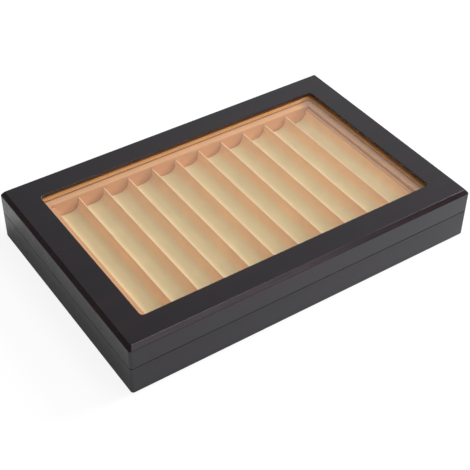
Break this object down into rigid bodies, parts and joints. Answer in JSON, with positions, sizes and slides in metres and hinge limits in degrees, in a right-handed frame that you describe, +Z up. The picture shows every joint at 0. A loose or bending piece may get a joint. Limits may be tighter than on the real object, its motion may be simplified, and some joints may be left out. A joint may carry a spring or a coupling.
{
  "type": "fountain pen box",
  "caption": "Flat wooden display box for fountain pens, with a hinged glass-topped lid over a lined tray of rounded channels.",
  "frame": {"origin": "centre of the underside", "axes": "+Z up, front at -Y, hinges at +Y, +X to the right seen from the front"},
  "size_m": [0.34, 0.2274, 0.05],
  "materials": {
    "lacquered_wood": "satin near-black espresso lacquer",
    "raw_board": "plain board",
    "glass": "clear float glass",
    "gold_lining": "golden brown lining",
    "tan_lining": "tan suede lining",
    "felt": "black felt",
    "brass": "polished brass",
    "magnet": "nickel plate"
  },
  "bodies": {
    "base": {"base_magnets": "magnet", "base_side_back": "lacquered_wood", "base_side_front": "lacquered_wood", "base_side_left": "lacquered_wood", "base_side_right": "lacquered_wood", "bottom_panel": "raw_board", "hinge_base_leaf_left": "brass", "hinge_base_leaf_right": "brass", "hinge_base_screws": "brass", "hinge_pin_left": "brass", "hinge_pin_right": "brass", "pen_insert": "tan_lining", "tray_rail_centre": "raw_board", "tray_rail_left": "raw_board", "tray_rail_right": "raw_board", "tray_rim_back": "tan_lining", "tray_rim_front": "tan_lining", "tray_rim_left": "tan_lining", "tray_rim_right": "tan_lining", "underside_felt": "felt"},
    "lid": {"glass_pane": "glass", "glass_strip_back": "gold_lining", "glass_strip_front": "gold_lining", "glass_strip_left": "gold_lining", "glass_strip_right": "gold_lining", "hinge_lid_leaf_left": "brass", "hinge_lid_leaf_right": "brass", "hinge_lid_screws": "brass", "lid_magnets": "magnet", "lid_side_back": "lacquered_wood", "lid_side_front": "lacquered_wood", "lid_side_left": "lacquered_wood", "lid_side_right": "lacquered_wood", "lid_top_panel": "lacquered_wood"}
  },
  "joints": [
    {"name": "lid_hinge", "type": "hinge", "parent": "base", "child": "lid", "pos_m": [0, 0.1139, 0.0275], "axis": [-1, 0, 0], "range_deg": [0, 95]}
  ]
}
